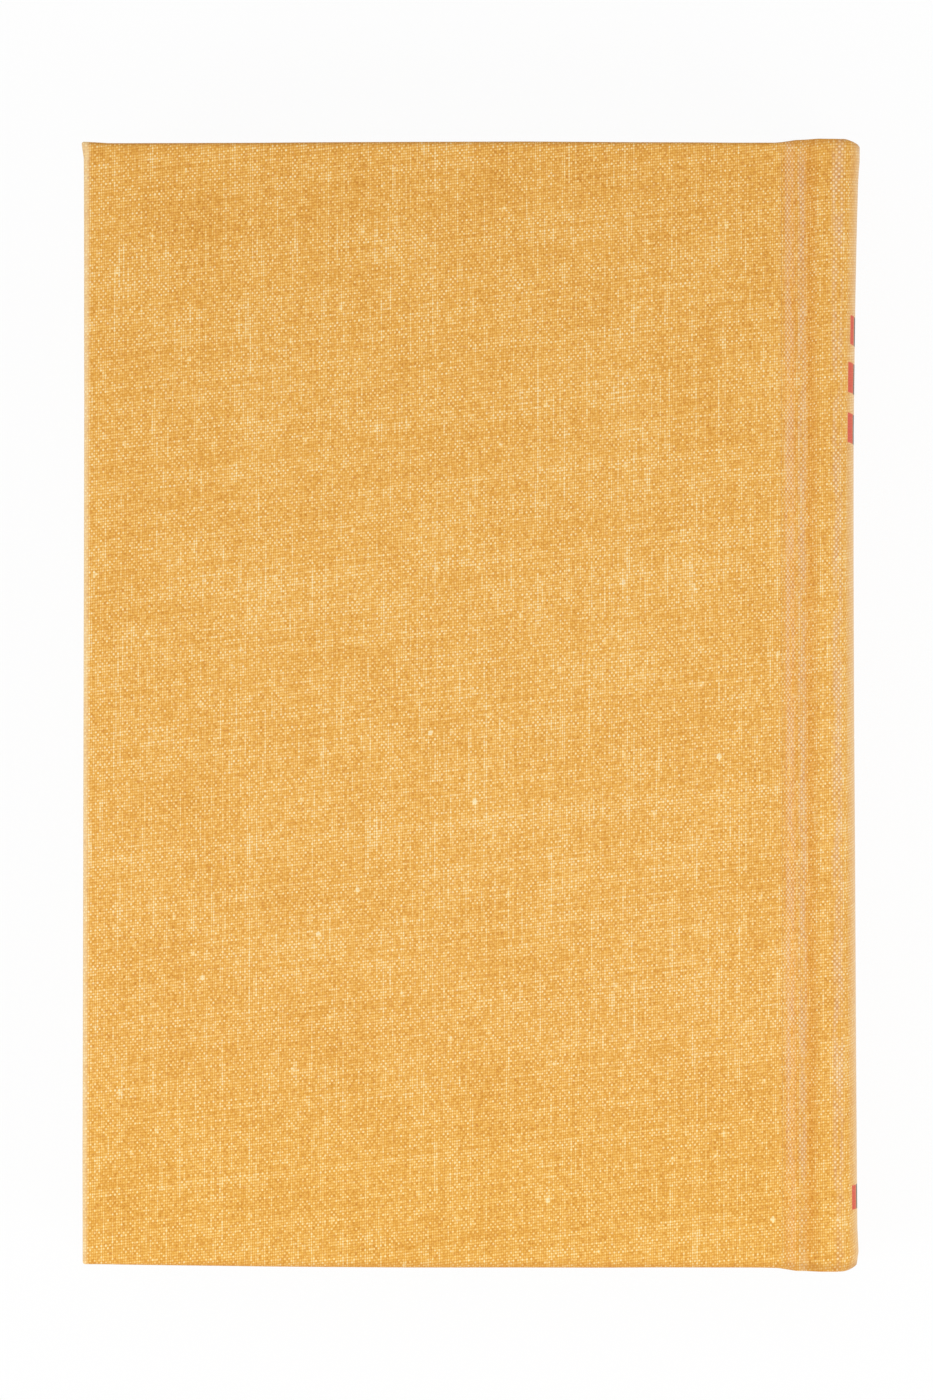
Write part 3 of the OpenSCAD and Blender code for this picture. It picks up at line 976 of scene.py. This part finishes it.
# Stamped blocks on the spine: middle, half width, place along the spine and half height in
# millimetres, from the spine's middle line towards the back and from the middle towards the head.
# A dark block stands beside each red one.
RED_BLOCKS = [(8.2, 2.0, 74.0, 2.9), (8.8, 2.8, 64.5, 3.0), (8.8, 2.8, 54.5, 2.95),
              (8.4, 2.2, -97.6, 2.4)]
DARK_BLOCKS = [(1.6, 4.0, at, half_h) for _, _, at, half_h in RED_BLOCKS]
STAMP_RED = rgb(222, 78, 52)
STAMP_DARK = rgb(62, 58, 56)
STAMP_EDGE = 0.12

Weave = namedtuple("Weave", "warp weft across_warp across_weft warp_crown weft_crown height")


def from_middle(x):
    """Distance along the case's section from the middle of the spine to a place across the cover."""
    return MID_U - np.interp(x, UPPER[:, 0], CASE_U[:len(UPPER)])


def weave(paint, place, u, v):
    """The threads at a point: their numbers, how near their middles the point is, how far the warp
    and the weft lie on top, and the height of the cloth."""
    warp_drift = paint.noise(place, WARP_DRIFT_SCALE, 1.0) - 0.5
    weft_drift = paint.noise(place, WEFT_DRIFT_SCALE, 1.0) - 0.5
    warp_wander = paint.streaks(u, v, *WARP_WANDER_SCALE) - 0.5
    weft_wander = paint.streaks(u, v, *WEFT_WANDER_SCALE) - 0.5
    a = (u + WARP_DRIFT * warp_drift + WARP_WANDER * warp_wander) / WARP_PITCH
    b = (v - WEFT_SLOPE * u + WEFT_DRIFT * weft_drift + WEFT_WANDER * weft_wander) / WEFT_PITCH
    warp, weft = a.math("FLOOR"), b.math("FLOOR")
    across_warp = (a * math.pi).math("SINE").math("ABSOLUTE")
    across_weft = (b * math.pi).math("SINE").math("ABSOLUTE")

    # The thread on top changes from crossing to crossing
    way = 1 - 2 * (warp + weft).math("FLOORED_MODULO", 2.0)
    crossing = across_warp * across_weft * way
    warp_h = across_warp.math("POWER", THREAD_ROUND) * (THREAD_LEVEL + THREAD_SWING * crossing)
    weft_h = across_weft.math("POWER", THREAD_ROUND) * (THREAD_LEVEL - THREAD_SWING * crossing)
    return Weave(warp, weft, across_warp, across_weft, crossing.math("MAXIMUM", 0.0),
                 (0 - crossing).math("MAXIMUM", 0.0), warp_h.math("MAXIMUM", weft_h))


def pale_runs(paint, threads, u, v):
    """Stretches of warp and of weft that are paler than the rest."""
    warp_run = paint.streaks(threads.warp, v, *WARP_RUN_SCALE)
    weft_run = paint.streaks(threads.weft, u, *WEFT_RUN_SCALE)
    return paint.band(warp_run, 0.60, 0.72), paint.band(weft_run, 0.66, 0.78)


def drawn_open(paint, side, u, v):
    """How far the cloth is drawn open over the walls of the joint, in streaks along it."""
    streak = paint.streaks(u, v, *DRAWN_SCALE, 2.0)
    drawn = sum(paint.within(side, from_middle(x), half, 0.5) for x, half in STRETCHED)
    return drawn * paint.band(streak, 0.25, 0.65) * (1 - 0.5 * paint.band(v, *CALM_RAMP))


def thread_tone(paint, threads, drawn, clump, long_warp, long_weft):
    """The tone that the threads have by themselves, from single crossings to long runs."""
    warp, weft, across_warp, across_weft, warp_crown, weft_crown, height = threads
    luck = paint.chance(warp * CROSSING_SEED + weft)
    warp_tone, weft_tone = paint.chance(warp), paint.chance(weft + WEFT_SEED)
    tone = TONE_MEAN + TONE_RELIEF * (height - MEAN_HEIGHT)
    tone = tone + TONE_CHECK * (weft_crown - warp_crown) * (1 + 2.0 * drawn)
    tone = tone + (TONE_WARP + TONE_WARP_EACH * warp_tone) * (across_warp - MEAN_ACROSS)
    tone = tone + (TONE_WEFT + TONE_WEFT_EACH * weft_tone) * (across_weft - MEAN_ACROSS)
    tone = tone + TONE_LUCK * (luck - MEAN_LUCK) * (0.3 + 0.7 * (weft_crown + warp_crown))
    tone = tone + weft_crown * (TONE_CROWN * clump + TONE_CROWN_EACH * weft_tone + TONE_RUN * long_weft)
    tone = tone + TONE_RUN * long_warp * across_warp * (0.45 + 0.55 * warp_crown)
    return tone + TONE_THREAD * (warp_tone - 0.5) + TONE_THREAD * (weft_tone - 0.5)


def cloth_slubs(paint, place, u, v):
    """Knots of pale fibre: the few that stand out, and smaller ones strewn over the rest."""
    slub = 0
    for x, y in SLUBS:
        across = ((u - x) / SLUB_W).math("POWER", 2.0)
        along = ((v - y) / SLUB_L).math("POWER", 2.0)
        slub = slub + paint.band((across + along).math("SQRT"), 1.25, 0.45)
    specks = paint.node("ShaderNodeTexVoronoi", {
        "Vector": paint.point(u * 1.5, v), "Scale": 1 / SLUB_SPACE}, voronoi_dimensions="2D")
    near = specks("Distance") * SLUB_SPACE + 1.1 * (paint.noise(place, 1.4) - 0.5)
    return slub + 0.5 * paint.band(near, 0.9, 0.25)


def painted_edge_light_and_shade(paint, colour, side, v, clump, across_weft):
    """Painted light at the edges: a cream sheen where the cloth turns away from the view round an edge
    along the book, then a painted highlight along the fore edge and painted shade along the head and
    tail edges."""
    _, ny, _ = paint.split(paint.node("ShaderNodeNewGeometry")("Normal"))
    facing = paint.node("ShaderNodeLayerWeight", {"Blend": 0.5})("Facing")
    # Painted sheen: cream mixed in where the cloth is seen at a grazing angle
    grazing_sheen = paint.band(facing, 0.7, 1.0) * (1 - ny.math("ABSOLUTE")) * (0.7 + 0.3 * across_weft)
    colour = paint.mix(RIM_SHEEN * grazing_sheen, colour, CLOTH_SHEEN_CREAM)
    # Painted highlight along the fore edge
    fore_highlight = paint.between(MID_U - side, *FORE_HIGHLIGHT_SPAN)
    colour = paint.mix(FORE_HIGHLIGHT * fore_highlight * (0.9 + 0.8 * clump), colour, CLOTH_FORE_HIGHLIGHT)
    # Painted shade along the head and tail edges
    end_shade = paint.between(v.math("ABSOLUTE") - COVER_L / 2, *END_SHADE_SPAN)
    return paint.mix(END_SHADE * end_shade * (1 - fore_highlight), colour, CLOTH_END_SHADE)


def stamping(paint, colour, place, u, v, height):
    """Plain blocks of ink, with a little wear on the threads."""
    wear = 0.8 + 0.2 * paint.band(height + 0.5 * (paint.noise(place, 0.9) - 0.5), 0.2, 0.5)
    for blocks, ink in ((RED_BLOCKS, STAMP_RED), (DARK_BLOCKS, STAMP_DARK)):
        inked = 0
        for middle, half_w, at, half_h in blocks:
            inked = inked + (paint.within(MID_U - u, middle, half_w, STAMP_EDGE)
                             * paint.within(v, at, half_h, STAMP_EDGE))
        colour = paint.mix(inked * wear, colour, ink)
    return colour


def book_cloth(name, stamped):
    """Plain-woven ochre cloth. Most effects are tones on one scale, from the pits to cream slubs."""
    paint = Paint(name)
    place = paint.flat_place()
    u, v, _ = paint.split(place)
    side = (u - MID_U).math("ABSOLUTE")
    threads = weave(paint, place, u, v)
    long_warp, long_weft = pale_runs(paint, threads, u, v)
    clump = paint.noise(place, CLUMP_SCALE, 3.0, 0.6) - 0.5
    cloud = paint.noise(place, CLOUD_SCALE, 3.0, 0.6) - 0.5
    drawn = drawn_open(paint, side, u, v)
    slub = cloth_slubs(paint, place, u, v)

    tone = thread_tone(paint, threads, drawn, clump, long_warp, long_weft)
    tone = tone + TONE_CLUMP * clump + TONE_CLOUD * cloud
    # Painted light and shade across the joint
    for x, half, amount in JOINT_LIGHT_AND_SHADE:
        tone = tone + amount * paint.within(side, from_middle(x), half, 0.6)
    tone = tone - TONE_ENDS * paint.band(v.math("ABSOLUTE"), *ENDS_RAMP)
    # Painted shade towards the head
    tone = tone - HEAD_SHADE * paint.band(v, *HEAD_SHADE_RAMP)
    grain = paint.noise(place, GRAIN_SCALE, 3.0, 0.75) - 0.5
    tone = tone + TONE_GRAIN * grain + TONE_SLUB * slub

    colour = paint.node("ShaderNodeValToRGB", {"Fac": tone}, stops=CLOTH_TONES)("Color")
    flecks = paint.noise(paint.point(u, v, FLECK_LEVEL), FLECK_SCALE, 3.0, 0.75, "3D")
    colour = paint.mix(RED * paint.band(flecks, 0.48, 0.7), colour, CLOTH_RED)
    yellower = YELLOW + YELLOW_AT_TAIL * paint.band(v, *TAIL_RAMP)
    colour = paint.mix(yellower, colour, CLOTH_YELLOWER, "MULTIPLY")
    colour = paint.mix(DRAWN * drawn * (0.35 + threads.weft_crown), colour, CLOTH_DRAWN)
    colour = paint.mix(GAP * drawn * paint.band(threads.height, 0.75, 0.45), colour, CLOTH_GAP)
    colour = painted_edge_light_and_shade(paint, colour, side, v, clump, threads.across_weft)
    if stamped:
        colour = stamping(paint, colour, place, u, v, threads.height)
    relief = threads.height + 0.5 * long_warp * threads.warp_crown + 0.8 * slub
    return paint.finish(colour, relief, RELIEF, 0.86, Sheen_Weight=SHEEN, Sheen_Roughness=0.4,
                        Sheen_Tint=(1.0, 0.93, 0.82, 1.0), Specular_IOR_Level=0.2)


# Width of the toned border at head and tail of an endpaper
TONED_W = 9
# Thickness of a sewn section on the block's edges
SECTION_T = 1.25
# Lines a millimetre that the leaves draw on the block's edges
LEAF_LINES = 7.0


def endpaper():
    """Wove endpaper, toned a little along its borders."""
    paint = Paint("endpaper")
    place = paint.flat_place()
    _, v, _ = paint.split(place)
    fibre = paint.noise(place, 1.6, 4.0, 0.7)
    cloud = paint.noise(place, 0.06, 2.0)
    toned = paint.band(v.math("ABSOLUTE"), PAGE_L / 2 - TONED_W, PAGE_L / 2)
    colour = paint.mix(fibre, rgb(228, 219, 196), rgb(244, 238, 220))
    colour = paint.mix(0.25 * cloud + 0.3 * toned, colour, rgb(222, 202, 160))
    return paint.finish(colour, fibre + 0.4 * cloud, 0.03, 0.9, Specular_IOR_Level=0.2)


def page_edges():
    """The cut edges of some two hundred leaves, which fan out over the shoulders."""
    paint = Paint("page_edges")
    place = paint.object_place()
    x, y, z = paint.split(place)
    foot = LEAF_FOOT_X + FORE_X
    crest = RIDGE[0] + FORE_X
    fan = ((x - foot) / (crest - foot)).math("MAXIMUM", 0.0).math("MINIMUM", 1.0)
    growth = (RIDGE[1] + SHOULDER_R) / (PAGES_T / 2) - 1
    leaf = (z - MID_Z) / (1 + growth * fan)
    lines = paint.noise(paint.point(x * 0.02, y * 0.02, leaf * LEAF_LINES), 1.0, 3.0, 0.75, "3D")
    uneven = paint.noise(paint.point(x * 0.25, y * 0.25, leaf * 3.0), 1.0, 2.0, 0.6, "3D")
    fold = paint.within((leaf / SECTION_T).math("FRACT"), 0.5, 0.06, 0.05)
    colour = paint.mix(paint.band(lines, 0.3, 0.7), rgb(212, 191, 153), rgb(246, 235, 211))
    colour = paint.mix(0.25 * paint.band(uneven, 0.45, 0.8), colour, rgb(198, 172, 124))
    colour = paint.mix(0.12 * fold, colour, rgb(150, 126, 88))
    return paint.finish(colour, lines + 0.4 * uneven, 0.12, 0.88, Specular_IOR_Level=0.2)


def greyboard():
    """Grey-brown board with flecks of fibre."""
    paint = Paint("greyboard")
    place = paint.object_place()
    fleck = paint.noise(place, 2.2, 4.0, 0.7, "3D")
    cloud = paint.noise(place, 0.12, 2.0, 0.5, "3D")
    colour = paint.mix(paint.band(fleck, 0.35, 0.65), rgb(126, 112, 92), rgb(164, 149, 124))
    colour = paint.mix(0.3 * cloud, colour, rgb(184, 172, 150))
    return paint.finish(colour, fleck, 0.06, 0.92, Specular_IOR_Level=0.2)


def fibre_paper(name, dark, light, scale):
    """Plain card or paper with fibres along the spine."""
    paint = Paint(name)
    x, y, z = paint.split(paint.object_place())
    fibre = paint.noise(paint.point(x, y * 0.25, z), scale, 4.0, 0.65, "3D")
    colour = paint.mix(paint.band(fibre, 0.3, 0.7), dark, light)
    return paint.finish(colour, fibre, 0.04, 0.9, Specular_IOR_Level=0.2)


def gauze():
    """Open mull: thin threads a millimetre apart, stiff with glue."""
    paint = Paint("mull_gauze")
    _, y, z = paint.split(paint.object_place())
    along = (y * math.pi).math("SINE").math("ABSOLUTE").math("POWER", 4.0)
    across = (z * math.pi).math("SINE").math("ABSOLUTE").math("POWER", 4.0)
    threads = along.math("MAXIMUM", across)
    colour = paint.mix(threads, rgb(176, 154, 112), rgb(232, 226, 208))
    return paint.finish(colour, threads, 0.15, 0.9)


def thread(name, dark, light):
    """Mercerised thread with a fine twist."""
    paint = Paint(name)
    x, y, z = paint.split(paint.object_place())
    twist = ((x * 0.8 + y * 1.3 + z) * 16.0).math("SINE") * 0.5 + 0.5
    colour = paint.mix(twist, dark, light)
    return paint.finish(colour, twist, 0.03, 0.6, Sheen_Weight=0.2)


# Edges that turn more than this, in degrees, are shaded sharp
SHARP_A = 50


def dressed(obj, material, body=None, stands_for=()):
    """Gives a piece its material and its body where it rides on one, and hides the parts that it stands
    for.
    """
    obj.data.materials.clear()
    obj.data.materials.append(material)
    obj.data.shade_smooth()
    obj.data.set_sharp_from_angle(angle=math.radians(SHARP_A))
    if body:
        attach(obj, body)
    if stands_for:
        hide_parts(*stands_for)
    return obj


def bent(obj):
    """Bakes the place of a piece over the joint between the block and a cover into its mesh."""
    start = to_frame(BEND_START, 0.0, 0.0)
    end = to_frame(BEND_END, 0.0, 0.0)
    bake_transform(obj)
    return obj


def cut_size(obj):
    """Width and length of the flat cloth that a piece is made of, from its UVs."""
    layer = obj.data.uv_layers["flat"].data
    uv = np.zeros(len(layer) * 2)
    layer.foreach_get("uv", uv)
    span = np.ptp(uv.reshape(-1, 2), axis=0)
    return float(span[0]), float(span[1])


COVER_CLOTH = book_cloth("ochre_book_cloth", False)
SPINE_CLOTH = book_cloth("ochre_book_cloth_stamped", True)
ENDPAPER = endpaper()
CREAM_THREAD = thread("cream_thread", rgb(214, 204, 178), rgb(246, 240, 222))
OCHRE_THREAD = thread("ochre_thread", rgb(176, 112, 44), rgb(222, 160, 82))
TAPE_COTTON = fibre_paper("tape_cotton", rgb(206, 198, 176), rgb(236, 230, 212), 1.2)
WINDING, WINDING_KEYS = winding_tree()

for cover, front in (("back_cover", False), ("front_cover", True)):
    side = cover.split("_")[0]
    cloth = dressed(cover_cloth(f"{side}_cover_cloth", front), COVER_CLOTH, cover,
                    [f"{side}_cloth"])
    cut_size(cloth)
    first, last = (LAST_RIDGE_STATION, len(CASE) - 1) if front else (0, RIDGE_STATION)
    joint = dressed(swept_cloth(f"{side}_joint_cloth", first, last), COVER_CLOTH)
    cut_size(joint)
    bent(joint)
    dressed(pastedown(f"{side}_pastedown_paper", front), ENDPAPER, cover,
            [f"{side}_pastedown"])
    bent(dressed(endpaper_hinge(f"{side}_endpaper_hinge", front), ENDPAPER))
    dressed(flyleaf(f"{side}_flyleaf_paper", front), ENDPAPER, "text_block",
            [f"{side}_flyleaf"])

spine = dressed(swept_cloth("spine_skin", RIDGE_STATION, LAST_RIDGE_STATION), SPINE_CLOTH,
                "text_block", ["spine_cloth"])
cut_size(spine)
dressed(spine_card(), fibre_paper("spine_card_fibre", rgb(178, 156, 118), rgb(206, 186, 150), 1.5),
        "text_block", ["spine_inlay"])
for end, way in (("head", 1), ("tail", -1)):
    dressed(band_tape(f"{end}_band_tape", way), TAPE_COTTON, "text_block",
            [f"{end}_band"])
    for turn, (colour, material) in enumerate((("cream", CREAM_THREAD), ("ochre", OCHRE_THREAD))):
        dressed(band_threads(f"{end}_band_{colour}_threads", way, turn, material), material,
                "text_block")

for names, material in (
    (("back_board", "front_board"), greyboard()),
    (("page_block",), page_edges()),
    (("spine_mull",), gauze()),
    (("spine_liner",), fibre_paper("kraft_liner", rgb(150, 112, 68), rgb(184, 146, 98), 1.1)),
):
    for name in names:
        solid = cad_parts[name]
        solid.data.materials.clear()
        solid.data.materials.append(material)


# The camera stands nearly straight above the book, a little towards its spine and tail
CAMERA_PLACE = (0.0241, -0.0369, 1.228)
CAMERA_TURN = (1.783, 1.179, 0.019)
LENS = 156.5
CLIP = (0.05, 20)
# Strength of the world's light, and each lamp's place, size and power
WORLD_LIGHT = 0.735
LAMPS = [
    ("right_lamp", (0.57, -0.38, 0.45), 0.5, 1.8),
    ("left_lamp", (-0.57, -0.38, 0.45), 0.5, 1.8),
]
# The floor's half size, level and colour, and how much the camera sees through it
FLOOR_REACH = 3.0
FLOOR_Z = -0.0001
FLOOR_WHITE = (0.9, 0.9, 0.9, 1.0)
FLOOR_CLEAR = 0.94


def white_surroundings():
    """An even light from all round, which the camera and mirrors see as plain white."""
    world = bpy.data.worlds.new("studio")
    bpy.context.scene.world = world
    world.use_nodes = True
    node = Nodes(world.node_tree).node
    rays = node("ShaderNodeLightPath")
    seen = rays("Is Camera Ray").math("MAXIMUM", rays("Is Glossy Ray"))
    strength = node("ShaderNodeMapRange", {"Value": seen, "To Min": WORLD_LIGHT, "To Max": 1.0})()
    white = node("ShaderNodeBackground", {"Color": (1, 1, 1, 1), "Strength": strength})()
    node("ShaderNodeOutputWorld", {"Surface": white})


def pale_floor():
    """A floor that stops no ray but the camera's, and few of those, so a cover that is opened
    below its level is lit and seen like the rest."""
    mesh = bpy.data.meshes.new("floor")
    square = [(x * FLOOR_REACH, y * FLOOR_REACH, FLOOR_Z)
              for x, y in ((-1, -1), (1, -1), (1, 1), (-1, 1))]
    mesh.from_pydata(square, [], [(0, 1, 2, 3)])
    floor = in_scene("floor", mesh)
    paint = Paint("white_floor")
    rays = paint.node("ShaderNodeLightPath")
    white = paint.node("ShaderNodeBsdfDiffuse", {"Color": FLOOR_WHITE})()
    clear = paint.node("ShaderNodeBsdfTransparent")()
    share = 1 - rays("Is Camera Ray") * (1 - FLOOR_CLEAR)
    mixed = paint.node("ShaderNodeMixShader", {0: share, 1: white, 2: clear})()
    paint.node("ShaderNodeOutputMaterial", {"Surface": mixed})
    mesh.materials.append(paint.material)


def lamps():
    """Two soft lamps, one at each side as on a copy stand."""
    for name, place, size, power in LAMPS:
        light = bpy.data.lights.new(name, "AREA")
        light.shape, light.size, light.energy = "DISK", size, power
        lamp = in_scene(name, light)
        lamp.location = place
        lamp.rotation_euler = (-Vector(place)).to_track_quat("-Z", "Y").to_euler()


def camera():
    """The camera above the book."""
    lens = bpy.data.cameras.new("camera")
    lens.lens = LENS
    lens.clip_start, lens.clip_end = CLIP
    seat = in_scene("camera", lens)
    seat.location = CAMERA_PLACE
    seat.rotation_euler = [math.radians(angle) for angle in CAMERA_TURN]
    bpy.context.scene.camera = seat


bpy.context.scene.view_settings.view_transform = "Standard"
white_surroundings()
pale_floor()
lamps()
camera()
